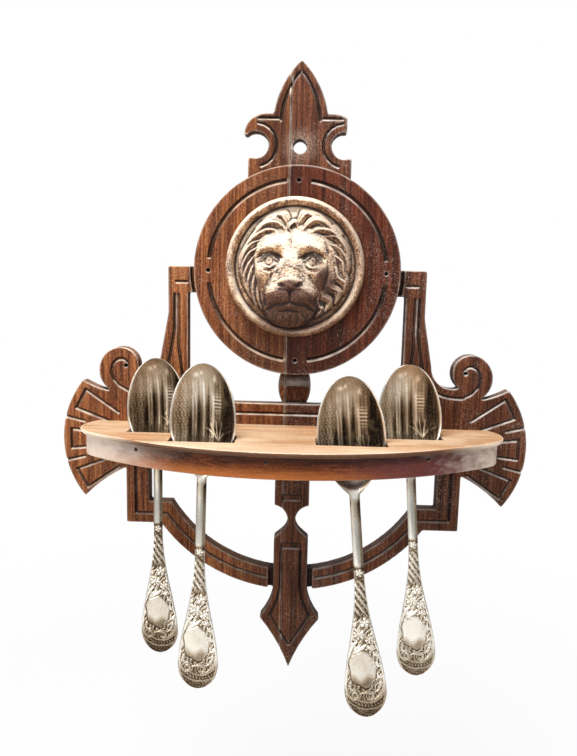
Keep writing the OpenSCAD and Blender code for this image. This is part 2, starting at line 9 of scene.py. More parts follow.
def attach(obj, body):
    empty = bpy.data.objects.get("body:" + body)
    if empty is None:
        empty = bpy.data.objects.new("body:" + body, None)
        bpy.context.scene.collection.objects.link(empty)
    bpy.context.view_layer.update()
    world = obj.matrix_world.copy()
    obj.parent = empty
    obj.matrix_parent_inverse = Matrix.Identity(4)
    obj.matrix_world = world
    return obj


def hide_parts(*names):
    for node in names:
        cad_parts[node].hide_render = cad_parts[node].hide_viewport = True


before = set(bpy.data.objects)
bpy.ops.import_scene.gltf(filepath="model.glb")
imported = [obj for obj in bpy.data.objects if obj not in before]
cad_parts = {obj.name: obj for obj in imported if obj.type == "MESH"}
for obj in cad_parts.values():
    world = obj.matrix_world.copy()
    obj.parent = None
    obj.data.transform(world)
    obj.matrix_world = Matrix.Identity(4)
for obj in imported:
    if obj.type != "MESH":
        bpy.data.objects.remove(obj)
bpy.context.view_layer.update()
MM = 0.001


# Back boards
# Two planks of walnut, glued edge to edge just left of the middle and fret-sawn to one outline.
# The front is chip-carved with V-shaped grooves, which are painted dark as shade.

BOARD_FRONT = 7.0
RED_WALNUT = ("2a1007", "733b1e", "b27546")
DARK_WALNUT = ("190a05", "462414", "7c4a30")
JOINT_SHADE = "35190f"
SHADE_IN_CUTS = "0d0604"
POWDER = "cfc0b0"
CUT_REACH = 3.0
EDGE_REACH = 1.1
WAX_SHINE = 0.12


def select_only(obj):
    """Makes one object the only one that operators act on."""
    bpy.ops.object.select_all(action="DESELECT")
    obj.select_set(True)
    bpy.context.view_layer.objects.active = obj


def finish_with(obj, kind, **settings):
    """Adds one modifier to an object and applies it."""
    select_only(obj)
    added = obj.modifiers.new(kind.title(), kind)
    for key, value in settings.items():
        setattr(added, key, value)
    bpy.ops.object.modifier_apply(modifier=added.name)


def worn_copy(node, voxel, rounds, share):
    """A copy of a node's solid with every sawn and carved edge worn a little round."""
    piece = bpy.data.objects.new(node + "_worn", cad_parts[node].data.copy())
    bpy.context.scene.collection.objects.link(piece)
    select_only(piece)
    bpy.ops.object.mode_set(mode="EDIT")
    bpy.ops.mesh.select_all(action="SELECT")
    bpy.ops.mesh.remove_doubles(threshold=0.01 * MM)
    bpy.ops.object.mode_set(mode="OBJECT")
    finish_with(piece, "REMESH", mode="VOXEL", voxel_size=voxel * MM, use_smooth_shade=True)
    finish_with(piece, "SMOOTH", factor=0.5, iterations=rounds)
    finish_with(piece, "DECIMATE", ratio=share)
    bpy.ops.object.shade_smooth()
    return piece


def dress(piece, material):
    """Gives a piece one material."""
    piece.data.materials.clear()
    piece.data.materials.append(material)


class Tone:
    """A shader socket that Python's own operators act on."""

    tree = None

    def __init__(self, socket):
        self.socket = socket

    @classmethod
    def node(cls, kind, settings=None, sockets=None, out=0):
        """A new node's output: its settings are set first, then its sockets get values or links."""
        made = cls.tree.nodes.new(kind)
        for key, value in (settings or {}).items():
            if key == "stops":
                for spare in list(made.color_ramp.elements)[1:]:
                    made.color_ramp.elements.remove(spare)
                for place, colour in value:
                    stop = made.color_ramp.elements.new(place)
                    stop.color = colour
                made.color_ramp.elements.remove(made.color_ramp.elements[0])
            else:
                setattr(made, key, value)
        for key, value in (sockets or {}).items():
            if isinstance(value, Tone):
                cls.tree.links.new(value.socket, made.inputs[key])
            else:
                made.inputs[key].default_value = value
        return cls(made.outputs[out])

    @classmethod
    def maths(cls, operation, first, second):
        return cls.node("ShaderNodeMath", {"operation": operation}, {0: first, 1: second})

    def __add__(self, other):
        return self.maths("ADD", self, other)

    def __radd__(self, other):
        return self.maths("ADD", other, self)

    def __sub__(self, other):
        return self.maths("SUBTRACT", self, other)

    def __rsub__(self, other):
        return self.maths("SUBTRACT", other, self)

    def __mul__(self, other):
        return self.maths("MULTIPLY", self, other)

    def __rmul__(self, other):
        return self.maths("MULTIPLY", other, self)

    def most(self, other):
        """The greater of two values."""
        return self.maths("MAXIMUM", self, other)

    def rise(self, low, high):
        """A smooth step from 0 at low to 1 at high."""
        sockets = {"Value": self, "From Min": low, "From Max": high}
        return self.node("ShaderNodeMapRange", {"interpolation_type": "SMOOTHSTEP"}, sockets)

    def axis(self, name):
        """One of a vector's three numbers."""
        return self.node("ShaderNodeSeparateXYZ", None, {"Vector": self}, out="XYZ".index(name))

    def length(self):
        """A vector's length."""
        return self.node("ShaderNodeVectorMath", {"operation": "LENGTH"}, {0: self}, out=1)

    def stretched(self, *scale):
        """A place, scaled along its axes to draw a pattern out."""
        return self.node("ShaderNodeMapping", None, {"Vector": self, "Scale": scale})


def stain(shade):
    """A colour written as six hex digits, as the linear numbers that a shader takes."""
    parts = [int(shade[i : i + 2], 16) / 255 for i in (0, 2, 4)]
    return tuple(p / 12.92 if p <= 0.04045 else ((p + 0.055) / 1.055) ** 2.4 for p in parts) + (1.0,)


def over(share, under, top):
    """One colour laid over another."""
    return Tone.node("ShaderNodeMix", {"data_type": "RGBA"}, {0: share, 6: under, 7: top}, out=2)


def noise(vector, scale, detail=3.0, rough=0.55, bend=0.0):
    """An uneven pattern with so many spots to the metre."""
    sockets = {"Vector": vector, "Scale": scale, "Detail": detail, "Roughness": rough, "Distortion": bend}
    return Tone.node("ShaderNodeTexNoise", None, sockets)


def own_place():
    """Where a surface lies on its own piece."""
    return Tone.node("ShaderNodeTexCoord", out=3)


def outlook(axis):
    """How far a surface looks along an axis, from -1 to 1."""
    return Tone.node("ShaderNodeNewGeometry", out=1).axis(axis)


def shut_in(reach, inside=False):
    """How far a piece closes in its own surface, or, felt from inside, how sharp its edges are."""
    near_by = {"samples": 8, "only_local": True, "inside": inside}
    return 1 - Tone.node("ShaderNodeAmbientOcclusion", near_by, {"Distance": reach * MM}, out=1)


def new_material(name):
    """A new material without nodes, for Tone to fill."""
    material = bpy.data.materials.new(name)
    material.use_nodes = True
    material.node_tree.nodes.clear()
    Tone.tree = material.node_tree
    return material


def close_material(material, sockets):
    """Ends a material with its surface shader."""
    surface = Tone.node("ShaderNodeBsdfPrincipled", None, sockets)
    output = material.node_tree.nodes.new("ShaderNodeOutputMaterial")
    material.node_tree.links.new(surface.socket, output.inputs["Surface"])


def grained(along, shades):
    """Walnut in a deep, a middle and a pale shade, grained along one axis, and its lines' height."""
    deep, body, pale = (stain(shade) for shade in shades)
    place = own_place()
    run = place.stretched(*(0.03 if axis == along else 1.0 for axis in "XYZ"))
    dash = place.stretched(*(0.5 if axis == along else 1.0 for axis in "XYZ"))
    lines = noise(run, 1200.0, 2.0, 0.6)
    bands = noise(run, 150.0, 3.0, 0.6, 0.6)
    pores = noise(dash, 1400.0, 2.0, 0.6)
    figure = lines * 0.28 + bands * 0.2 + pores * 0.52
    stops = [(0.43, deep), (0.5, body), (0.57, pale)]
    wood = Tone.node("ShaderNodeValToRGB", {"stops": stops}, {"Fac": figure})
    wood = over(pores.rise(0.52, 0.64) * 0.75, wood, deep)
    wood = over((1 - pores.rise(0.32, 0.46)) * 0.5, wood, pale)
    return wood, lines * 0.5 - pores.rise(0.5, 0.66)


def aged(wood, worn_and_lit, wear_and_highlight, dust, front=None):
    """Wood painted with shade in its cuts, pale on its edges from rubbing and painted highlight, pale on
    what faces up from dust and painted highlight, and dusty all over.
    """
    place = own_place()
    cut_shade = shut_in(CUT_REACH).rise(0.06, 0.3)
    # How far a surface faces up, for a painted highlight from above
    upward = outlook("Z").rise(0.2, 0.6)
    if front:
        # A groove's walls lie just behind the front and look aside, so they get painted shade and less
        # painted highlight
        behind = place.axis("Y") + front * MM
        shallow = behind.rise(0.03 * MM, 0.25 * MM) * (1 - behind.rise(2.0 * MM, 4.5 * MM))
        aside = 1 - (0 - outlook("Y")).rise(0.9, 0.985)
        cut_shade = cut_shade.most(shallow * aside * (1 - 0.75 * upward))
        upward = upward * (1 - 0.8 * behind.rise(0.9 * MM, 1.8 * MM))
    # Painted shade in the cuts and on the groove walls
    wood = over(cut_shade * 0.88, wood, stain(SHADE_IN_CUTS))
    # Edges are pale from rubbing and painted highlight; what faces up is pale from dust and painted
    # highlight
    edges = shut_in(EDGE_REACH, inside=True).rise(0.1, 0.4)
    patchy = noise(place, 150.0, 4.0).rise(0.3, 0.7)
    wood = over(edges * (0.3 + 0.7 * patchy) * wear_and_highlight, wood, stain(worn_and_lit))
    wood = over(upward * (0.35 + 0.65 * patchy) * (1 - 0.25 * cut_shade) * wear_and_highlight, wood, stain(worn_and_lit))
    specks = noise(place, 1900.0, 2.0, 0.7).rise(0.58, 0.68) * noise(place, 55.0, 3.0).rise(0.4, 0.7)
    return over(specks * dust, wood, stain(POWDER)), cut_shade


def close_wood(material, wood, height, cut_shade):
    """Ends a wood's material: waxed, with its lines and pores standing in relief."""
    relief = Tone.node("ShaderNodeBump", None, {"Strength": 0.4, "Distance": 0.2 * MM, "Height": height})
    sockets = {"Base Color": wood, "Roughness": 0.5 + 0.2 * cut_shade, "Normal": relief}
    close_material(material, sockets | {"Specular IOR Level": WAX_SHINE})


def dusty_hole(wood):
    """Wood with dust and wear round the hole that the rack hangs by."""
    place = own_place()
    round_hole = 1 - place.length().rise(0.006, 0.0125)
    specks = noise(place, 1700.0, 3.0, 0.65).rise(0.42, 0.62)
    return over(round_hole * specks * 0.5, wood, stain("b8a595"))


def board_wear_and_highlight():
    """How far a board's edges are rubbed and painted with highlight: less on the pendant and the straps
    than above the shelf.
    """
    return 0.4 + 0.5 * own_place().axis("Z").rise(-0.175, -0.14)


red_walnut = new_material("red_walnut")
wood, height = grained("Z", RED_WALNUT)
level = own_place().axis("Z")
# The wood darkens towards the glued joint, and most of all on the crest and the pendant: partly a dark
# joint, partly painted shade
shaded = 0.5 * level.rise(-0.026, -0.016) + 0.5 * (0 - level).rise(0.125, 0.14) + 0.35
by_joint = own_place().axis("X").rise(-0.034, -0.012)
wood = over(shaded * by_joint * 0.75, wood, stain(JOINT_SHADE))
wood, cut_shade = aged(dusty_hole(wood), "e2cdb8", wear_and_highlight=board_wear_and_highlight(), dust=0.35, front=BOARD_FRONT)
close_wood(red_walnut, wood, height, cut_shade)
dark_walnut = new_material("dark_walnut")
wood, height = grained("Z", DARK_WALNUT)
wood, cut_shade = aged(dusty_hole(wood), "d8cbc1", wear_and_highlight=board_wear_and_highlight(), dust=0.45, front=BOARD_FRONT)
close_wood(dark_walnut, wood, height, cut_shade)
for side, material in (("left", red_walnut), ("right", dark_walnut)):
    board = worn_copy("back_board_" + side, voxel=0.38, rounds=2, share=0.28)
    dress(board, material)
    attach(board, "rack")
    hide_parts("back_board_" + side)


# Roundel
# A raised disc of walnut in two halves, laid on the boards and screwed to them from behind.
# A broken ring of V-groove runs round its face, with a drilled dot at each break.

ROUNDEL_FRONT = 13.0


def shaded_below(wood):
    """Wood that darkens towards the roundel's lower edge, as painted shade from the light above."""
    return over((0 - own_place().axis("Z")).rise(0.07, 0.105) * 0.4, wood, stain("1d0f0a"))


red_roundel = new_material("red_roundel")
wood, height = grained("Z", RED_WALNUT)
# Darker towards the joint: partly a dark joint, partly painted shade over the disc's middle
wood = over(own_place().axis("X").rise(-0.036, -0.014) * 0.5, wood, stain(JOINT_SHADE))
wood, cut_shade = aged(shaded_below(wood), "d6bba4", wear_and_highlight=0.85, dust=0.45, front=ROUNDEL_FRONT)
close_wood(red_roundel, wood, height, cut_shade)
dark_roundel = new_material("dark_roundel")
wood, height = grained("Z", ("180804", "451d0f", "743c26"))
wood, cut_shade = aged(shaded_below(wood), "c8b6aa", wear_and_highlight=0.9, dust=0.5, front=ROUNDEL_FRONT)
close_wood(dark_roundel, wood, height, cut_shade)
for side, material in (("left", red_roundel), ("right", dark_roundel)):
    half = worn_copy("roundel_" + side, voxel=0.34, rounds=2, share=0.32)
    dress(half, material)
    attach(half, "rack")
    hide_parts("roundel_" + side)


# Medallion
# A lion's mask carved from one block of pale wood, in a dish with a round rim, glued to the roundel.
# Dust lies thick on it, and the dark wood shows where the muzzle, a cheek and the chin are handled;
# painted shade darkens its sunk places, its lower face and its right side.

MEDALLION_X = -0.9
MEDALLION_Z = -55.6
MEDALLION_R = 32.0
DISH_FLOOR = 2.5
RIM_R = 30.0
RIM_HALF = 2.0
RIM_RISE = 3.5
FACE_MIDDLE = -1.9
EYE_X, EYE_Z, IRIS_R = 9.9, 2.5, 1.7


def swell(x, z, at, size, turn=0.0, power=2.0):
    """A soft rounded mass: 1 at its middle, falling to 0 outside its size."""
    a = math.radians(turn)
    dx, dz = x - at[0], z - at[1]
    u = (dx * math.cos(a) + dz * math.sin(a)) / size[0]
    v = (dz * math.cos(a) - dx * math.sin(a)) / size[1]
    return np.exp(-((u * u + v * v) ** (power / 2)))


def curve(points, steps=6):
    """A smooth run of points through a few given ones."""
    p = np.array(points, float)
    p = np.vstack([2 * p[0] - p[1], p, 2 * p[-1] - p[-2]])
    run = []
    for i in range(1, len(p) - 2):
        for t in np.linspace(0, 1, steps, endpoint=False):
            bend = 2 * p[i - 1] - 5 * p[i] + 4 * p[i + 1] - p[i + 2]
            twist = 3 * p[i] - p[i - 1] - 3 * p[i + 1] + p[i + 2]
            run.append(p[i] + 0.5 * ((p[i + 1] - p[i - 1]) * t + bend * t**2 + twist * t**3))
    return np.array(run + [p[-2]])


def stroke(x, z, points, width, blunt=0.12):
    """How far each place lies from a curved stroke, in shares of its width, and how far along it."""
    path = curve(points)
    count = len(path) - 1
    best = np.full(x.shape, 9.0)
    along = np.zeros(x.shape)
    for i in range(count):
        a, way = path[i], path[i + 1] - path[i]
        t = np.clip(((x - a[0]) * way[0] + (z - a[1]) * way[1]) / (way @ way), 0, 1)
        far = np.hypot(x - a[0] - t * way[0], z - a[1] - t * way[1])
        place = (i + t) / count
        near = far / (width * np.sqrt(np.clip(4 * place * (1 - place), blunt, 1)))
        along = np.where(near < best, place, along)
        best = np.minimum(best, near)
    return best, along


def cut(x, z, points, width):
    """A cut of the carver's tool along a stroke: 1 in its middle."""
    return np.exp(-stroke(x, z, points, width)[0] ** 2)


# Each lock of the mane: the points it runs through, its half width and its height
crown_locks = [
    ([(-3.0, 15.5), (-5.5, 20.5), (-9.5, 22.8), (-14.5, 20.8)], 2.3, 3.6),
    ([(-3.5, 14.0), (-8.0, 18.5), (-13.5, 18.8), (-18.5, 15.2)], 2.5, 4.2),
    ([(-7.0, 14.0), (-12.0, 16.0), (-17.5, 14.0), (-22.5, 9.5)], 2.3, 4.0),
    ([(0.5, 16.0), (3.5, 21.5), (8.0, 24.0), (13.0, 21.8)], 2.4, 3.6),
    ([(3.0, 15.0), (7.5, 19.6), (12.5, 20.0), (17.5, 16.0)], 2.5, 4.2),
    ([(6.5, 14.5), (11.5, 16.6), (17.0, 15.6), (21.5, 10.8)], 2.3, 4.1),
    ([(-1.0, 13.0), (-3.0, 16.0), (-0.6, 18.4), (0.8, 16.2)], 1.9, 4.0),
    ([(-2.4, 19.0), (-5.2, 23.0), (-9.0, 25.0)], 1.5, 2.6),
    ([(1.2, 20.0), (4.0, 24.0), (8.4, 25.6)], 1.5, 2.6),
    ([(15.0, 17.8), (18.6, 18.4), (20.6, 15.6), (18.6, 14.0)], 1.5, 3.4),
]
hanging_locks = [
    ([(-14.5, 12.0), (-20.0, 10.0), (-23.6, 5.0), (-25.2, 0.0)], 2.2, 3.6),
    ([(-16.5, 9.0), (-21.0, 5.8), (-23.6, 0.8), (-24.6, -4.8)], 2.1, 3.7),
    ([(-18.5, 5.0), (-21.4, 0.6), (-23.0, -4.6), (-22.4, -9.8)], 2.0, 3.7),
    ([(-18.8, 1.5), (-20.6, -3.6), (-21.4, -8.6), (-20.2, -13.6)], 1.6, 3.9),
    ([(-18.0, -2.5), (-19.0, -7.4), (-19.2, -11.8), (-17.6, -16.8)], 1.5, 4.0),
    ([(-16.6, -6.0), (-17.0, -10.4), (-16.6, -14.4), (-14.8, -19.0)], 1.4, 3.9),
    ([(-15.0, -9.0), (-15.0, -12.8), (-14.0, -17.0), (-12.0, -21.4)], 1.3, 3.4),
]
curled_locks = [
    ([(13.5, 13.6), (18.5, 13.6), (22.4, 9.6), (24.6, 4.6)], 2.3, 3.8),
    ([(16.0, 10.4), (20.4, 8.2), (23.6, 3.0), (24.4, -1.6)], 2.1, 3.7),
    ([(18.2, 5.6), (21.4, 2.4), (22.2, -2.4), (24.6, -6.0)], 2.2, 3.7),
    ([(18.6, 0.6), (19.6, -4.0), (22.8, -6.6), (22.6, -11.4)], 2.4, 4.0),
    ([(15.6, -3.6), (16.0, -8.4), (20.0, -10.6), (19.0, -15.6)], 2.3, 4.2),
    ([(12.6, -8.4), (13.0, -12.6), (16.4, -14.8), (14.4, -19.4)], 2.0, 3.8),
    ([(11.0, -13.6), (11.4, -17.0), (12.6, -19.0), (10.4, -22.4)], 1.5, 3.2),
]


def mane_height(x, z):
    """A low cushion of hair round the head, with locks laid over it."""
    away = np.hypot(x, z)
    field = np.clip((27.4 - away) / 3.0, 0, 1)
    bed = 1.0 + 3.0 * np.clip((25.0 - away) / 7.0, 0, 1)
    top = np.zeros_like(x)
    raised = z - 1.6 * np.exp(-((x / 12.0) ** 2)) * np.clip((z - 6.0) / 6.0, 0, 1)
    for points, width, height in crown_locks + hanging_locks + curled_locks:
        near, along = stroke(x, raised, points, width)
        body = np.sqrt(np.clip(1 - near**2, 0, 1))
        strands = 0.13 * np.cos(near * 8.5) * body
        top = np.maximum(top, height * (0.8 + 0.3 * np.sin(np.pi * along)) * (body + strands))
    return field * np.maximum(bed, 0.8 + top)


def on_face(x, z):
    """A place on the face: from its middle line, and with its long forehead evened out."""
    drawn_out = [-30, -8.4, 2.6, 9.8, 18.8, 32]
    even = [-28.8, -7, 2.4, 8.6, 17.2, 30.4]
    return x - FACE_MIDDLE, np.interp(z, drawn_out, even)


# The line of the mouth, from the middle to its right corner
mouth = [(-0.4, -14.0), (2.6, -15.2), (6.6, -15.6), (11.4, -18.6)]


def face_height(x, z):
    """The beast's face: its great masses first, then eyes, nose and mouth."""
    x, z = on_face(x, z)
    s = np.abs(x)
    half = np.interp(z, [-26.4, -26, -24.6, -22, -18, -13, -8, -2, 4, 9, 13, 15.4, 16.8, 17.2],
                     [0.01, 4.0, 8.0, 11.0, 13.6, 15.2, 16.6, 18.4, 18.8, 17.6, 14.8, 10.8, 6.0, 0.01])
    crown = np.interp(z, [-26.5, -22, -15, -5, 4, 12, 17.5], [2.0, 4.2, 6.0, 7.0, 6.8, 5.2, 1.5])
    h = crown * np.sqrt(np.clip(1 - (s / half) ** 2, 0, 1))
    # Brows, temples, the furrow between them, the bridge of the nose, cheeks, muzzle and chin
    h += 2.0 * swell(s, z, (6.6, 8.6), (5.6, 3.0), -8, 2.4)
    h += 0.9 * swell(s, z, (13.0, 6.4), (3.6, 2.6), -24)
    h -= 0.8 * swell(x, z, (0, 10.5), (1.5, 5.0))
    h += 3.3 * swell(x, z, (0, -0.5), (5.4, 7.5), 0, 3.0)
    h += 1.5 * swell(s, z, (13.0, -2.6), (3.8, 4.8), -22)
    h += 3.8 * swell(x, z, (0, -11.5), (11.0, 6.2), 0, 3.6)
    h += 1.4 * swell(s, z, (5.2, -11.8), (4.4, 3.4))
    h += 2.4 * swell(x, z, (0, -21.5), (7.6, 3.4), 0, 2.6)
    # Sockets, eyeballs with a ring cut round each iris, and lids
    h -= 2.7 * swell(s, z, (10.2, 3.6), (4.6, 2.4), -6, 2.6) + 1.4 * swell(s, z, (5.9, 3.4), (1.8, 2.4))
    h += 1.5 * swell(s, z, (10.0, 2.3), (2.5, 1.7), 0, 3.0)
    iris = np.hypot(s - EYE_X, z - EYE_Z)
    h -= 0.35 * np.exp(-(((iris - IRIS_R) / 0.4) ** 2)) + 0.12 * np.exp(-((iris / 0.8) ** 2))
    h += 0.9 * cut(s, z, [(6.0, 2.8), (8.4, 4.0), (11.4, 4.0), (14.4, 2.2)], 0.8)
    h -= 1.1 * cut(s, z, [(3.4, 3.4), (6.0, 4.6), (9.6, 6.0), (12.6, 5.4), (15.4, 3.4)], 0.8)
    h += 0.25 * cut(s, z, [(6.6, 1.4), (9.2, -0.2), (12.0, 0.0), (14.0, 1.8)], 0.6)
    h -= 0.25 * cut(s, z, [(6.6, 0.2), (9.4, -1.5), (12.6, -1.0)], 0.6)
    # Nose, nostrils, the line below the nose, lips and the folds beside the muzzle
    h += 1.0 * swell(x, z, (0, -5.9), (6.4, 2.8), 0, 3.6)
    h -= 0.3 * cut(x, z, [(-6.4, -5.4), (-4.0, -3.9), (0, -3.4), (4.0, -3.9), (6.4, -5.4)], 0.6)
    h -= 1.7 * swell(s, z, (3.8, -6.9), (1.7, 0.9), 22, 2.4)
    h -= 1.0 * cut(x, z, [(-5.0, -8.6), (-2.0, -8.9), (0, -9.4), (2.0, -8.9), (5.0, -8.6)], 0.6)
    h -= 1.2 * cut(x, z, [(0, -9.0), (0, -11.0), (0, -13.6)], 0.6)
    h -= 1.3 * cut(s, z, mouth, 0.9)
    h += 1.0 * swell(x, z, (0, -16.6), (3.6, 1.2), 0, 2.6)
    h -= 1.0 * cut(x, z, [(-4.4, -18.8), (0, -18.2), (4.4, -18.8)], 0.8)
    h -= 1.0 * cut(s, z, [(8.6, -3.0), (10.8, -6.6), (12.0, -10.6), (11.2, -15.6)], 1.9)
    # Whisker lines on the pads and tufts on the chin
    for k in (-2, -1, 0, 1, 2):
        whisker = [(3.4, -11.2 + 1.1 * k), (6.6, -11.4 + 1.3 * k), (9.6, -12.4 + 1.6 * k)]
        tuft = [(2.8 * k, -19.8), (3.4 * k + 0.5, -22.6), (2.4 * k, -25.6)]
        h -= 0.45 * cut(s, z, whisker, 0.35)
        h -= 0.9 * cut(x, z, tuft, 0.6)
    return np.where(s < half, 1.6 + 0.86 * h, 0) * np.clip((1 - s / half) * 7, 0, 1) ** 0.7


def face_line_shade(x, z):
    """Painted shade along the face's lines: irises, lids, nostrils, folds by the chin and mouth."""
    x, z = on_face(x, z)
    s = np.abs(x)
    iris = np.hypot(s - EYE_X, z - EYE_Z)
    drawn = 0.3 * np.exp(-(((iris - IRIS_R) / 0.35) ** 2)) * np.clip((3.4 - z) / 0.8, 0, 1)
    drawn += 0.15 * np.exp(-((iris / 0.9) ** 2))
    for points, width in (([(5.0, 3.0), (8.0, 4.5), (11.4, 4.3), (14.8, 2.0)], 1.0),
                          ([(6.4, 1.0), (9.2, -0.4), (12.4, 0.0)], 0.45),
                          ([(2.4, -7.2), (4.2, -6.4), (5.6, -7.0)], 0.8),
                          ([(11.6, -12.0), (12.0, -16.0), (10.6, -21.0)], 0.9),
                          ([(13.6, -13.0), (13.8, -16.0), (13.0, -19.0)], 0.7),
                          ([(7.4, -19.5), (8.0, -22.0), (6.6, -24.4)], 0.7),
                          (mouth, 0.7)):
        drawn = np.maximum(drawn, 0.8 * cut(s, z, points, width))
    return np.clip(drawn, 0, 1)


def medallion_height(x, z):
    """Height of the medallion's face above the roundel."""
    away = np.hypot(x, z)
    across = np.clip((away - RIM_R) / RIM_HALF, -1, 1)
    rim = RIM_RISE * np.sqrt(1 - across**2)
    mane, face = mane_height(x, z), face_height(x, z)
    carved = 0.5 * (mane + face + np.sqrt((mane - face) ** 2 + 0.5))
    # The tool has left the wood pitted
    coarse = np.sin(2.9 * x + 1.3 * np.sin(2.3 * z)) * np.sin(2.7 * z + 1.7 * np.sin(1.9 * x))
    fine = np.sin(6.7 * x + 2.0 * np.sin(5.1 * z)) * np.sin(6.1 * z + 2.0 * np.sin(4.7 * x))
    carved = carved + (0.14 * coarse + 0.07 * fine) * np.clip(carved, 0, 1)
    carved = np.where((np.maximum(mane, face) > 0.05) & (away < RIM_R - RIM_HALF), carved, 0)
    return DISH_FLOOR + np.maximum(rim, carved)


def grid_sheet(name, columns, rows):
    """A new flat grid, and its vertices' places across and along it, from -1 to 1."""
    bpy.ops.object.select_all(action="DESELECT")
    bpy.ops.mesh.primitive_grid_add(x_subdivisions=columns, y_subdivisions=rows, size=2.0)
    sheet = bpy.context.object
    sheet.name = name
    flat = np.zeros(len(sheet.data.vertices) * 3)
    sheet.data.vertices.foreach_get("co", flat)
    flat = flat.reshape(-1, 3)
    return sheet, flat[:, 0], flat[:, 1]


def set_points(sheet, x, y, z):
    """Moves every vertex to its place, given in millimetres."""
    sheet.data.vertices.foreach_set("co", (np.stack([x, y, z], -1) * MM).ravel())
    sheet.data.update()


def keep_values(sheet, name, values):
    """Keeps one number for each vertex, for the material to read."""
    sheet.data.attributes.new(name, "FLOAT", "POINT").data.foreach_set("value", values.astype(np.float32))


def kept_value(name):
    """A number that keep_values kept, as a shader reads it."""
    return Tone.node("ShaderNodeAttribute", {"attribute_name": name}, out=2)


def evened(table, own):
    """A table of heights, each drawn towards the four beside it."""
    beside = np.roll(table, 1, 0) + np.roll(table, -1, 0) + np.roll(table, 1, 1) + np.roll(table, -1, 1)
    return (beside + own * table) / (4 + own)


def by_vertex(table, order):
    """A table's values in the order of the sheet's own vertices."""
    values = np.zeros(table.size)
    values[order] = table.ravel()
    return values


CELLS = 230
EVENED_TO = 0.985
medallion, across, along = grid_sheet("lion_carving", CELLS, CELLS)
# The square sheet is drawn in to a disc, evenly from its middle to its rim
reach = np.maximum(np.abs(across), np.abs(along))
wide = np.abs(across) >= np.abs(along)
upright = along / np.where(across == 0, 1, across)
level = across / np.where(along == 0, 1, along)
slope = np.where(wide, upright, level)
angle = np.where(wide, slope, 2 - slope) * math.pi / 4
side = np.where(wide, np.sign(across), np.sign(along))
disc_x = MEDALLION_R * reach * side * np.cos(angle)
disc_z = MEDALLION_R * reach * side * np.sin(angle)
height = medallion_height(disc_x, disc_z)
# The heights are evened a little for the carving, and far more to find what lies sunk in it
order = np.lexsort((np.round(across, 4), np.round(along, 4)))
table = height[order].reshape(CELLS + 1, CELLS + 1)
for _ in range(2):
    table = evened(table, 2)
blurred = table
for _ in range(14):
    blurred = evened(blurred, 1)
inner = reach < EVENED_TO
height = np.where(inner, by_vertex(table, order), height)
hollow = by_vertex(blurred - table, order)
away = np.hypot(disc_x, disc_z)
# Dust fills the channel inside the rim, so it gets less painted shade than the cuts
hollow *= 1 - 0.55 * np.clip((away - 24.5) / 1.5, 0, 1) * (away < RIM_R - 1)
# The face's lines join the sunk places, for painted shade
hollow += 0.4 * face_line_shade(disc_x, disc_z)
face_x, face_z = on_face(disc_x, disc_z)
# Hands have rubbed the dust from the muzzle, the chin, the nose, the cheeks, the eyes and the outer mane;
# the same mask paints shade on the lower face and along the right side
rubbed_and_shaded = np.clip(1.3 * swell(face_x, face_z, (0, -13.5), (11.0, 6.0), 0, 4.0)
                  + 1.0 * swell(face_x, face_z, (0, -22.5), (13.0, 6.0))
                  + 0.75 * swell(face_x, face_z, (0, -6.4), (5.6, 2.6), 0, 3.0)
                  + 0.9 * swell(face_x, face_z, (14.5, -5.0), (4.6, 6.0))
                  + 0.5 * swell(face_x, face_z, (-13.5, -5.5), (3.6, 5.0))
                  + 0.5 * swell(np.abs(face_x), face_z, (9.9, 2.2), (3.6, 1.8), 0, 3.0)
                  + 0.3 * np.clip((away - 15.0) / 5.0, 0, 1)
                  + 0.2 * np.clip((disc_x - 6) / 12, 0, 1), 0, 1)
set_points(medallion, MEDALLION_X + disc_x, -ROUNDEL_FRONT - height, MEDALLION_Z + disc_z)
keep_values(medallion, "hollow", np.where(inner, hollow, 0))
keep_values(medallion, "rubbed_and_shaded", rubbed_and_shaded)
bpy.ops.object.mode_set(mode="EDIT")
bpy.ops.mesh.select_all(action="DESELECT")
bpy.ops.mesh.select_mode(type="EDGE")
bpy.ops.mesh.select_non_manifold()
bpy.ops.mesh.extrude_region_move(TRANSFORM_OT_translate={"value": (0, DISH_FLOOR * MM, 0)})
bpy.ops.mesh.edge_face_add()
bpy.ops.mesh.select_all(action="SELECT")
bpy.ops.mesh.normals_make_consistent(inside=False)
bpy.ops.object.mode_set(mode="OBJECT")
bpy.ops.object.shade_smooth()

dusty_wood = new_material("dusty_carving")
place = own_place()
hollow_here = kept_value("hollow")
rubbed_and_shaded_here = kept_value("rubbed_and_shaded")
patch = noise(place, 220.0, 5.0, 0.65)
fine = noise(place, 1500.0, 3.0, 0.65)
stops = [(0.42, stain("41220f")), (0.5, stain("8f5f3a")), (0.58, stain("d6ad7f"))]
carving = Tone.node("ShaderNodeValToRGB", {"stops": stops}, {"Fac": patch * 0.5 + fine * 0.5})
dusty = (outlook("Z") + 0.9 * (patch - 0.5) + 1.3 * (fine - 0.5)).rise(-0.3, 0.45)
carving = over(dusty * (1 - 0.8 * rubbed_and_shaded_here) * 0.86, carving, stain("f5e4ce"))
# Bare dark wood where hands rubbed it, and painted shade on the lower face and the right side
bared_and_shaded = (rubbed_and_shaded_here + 0.7 * (patch - 0.5)).rise(0.35, 0.8)
skin = over(fine.rise(0.47, 0.62) * 0.6, stain("32150a"), stain("7a4a30"))
carving = over(bared_and_shaded * 0.92, carving, skin)
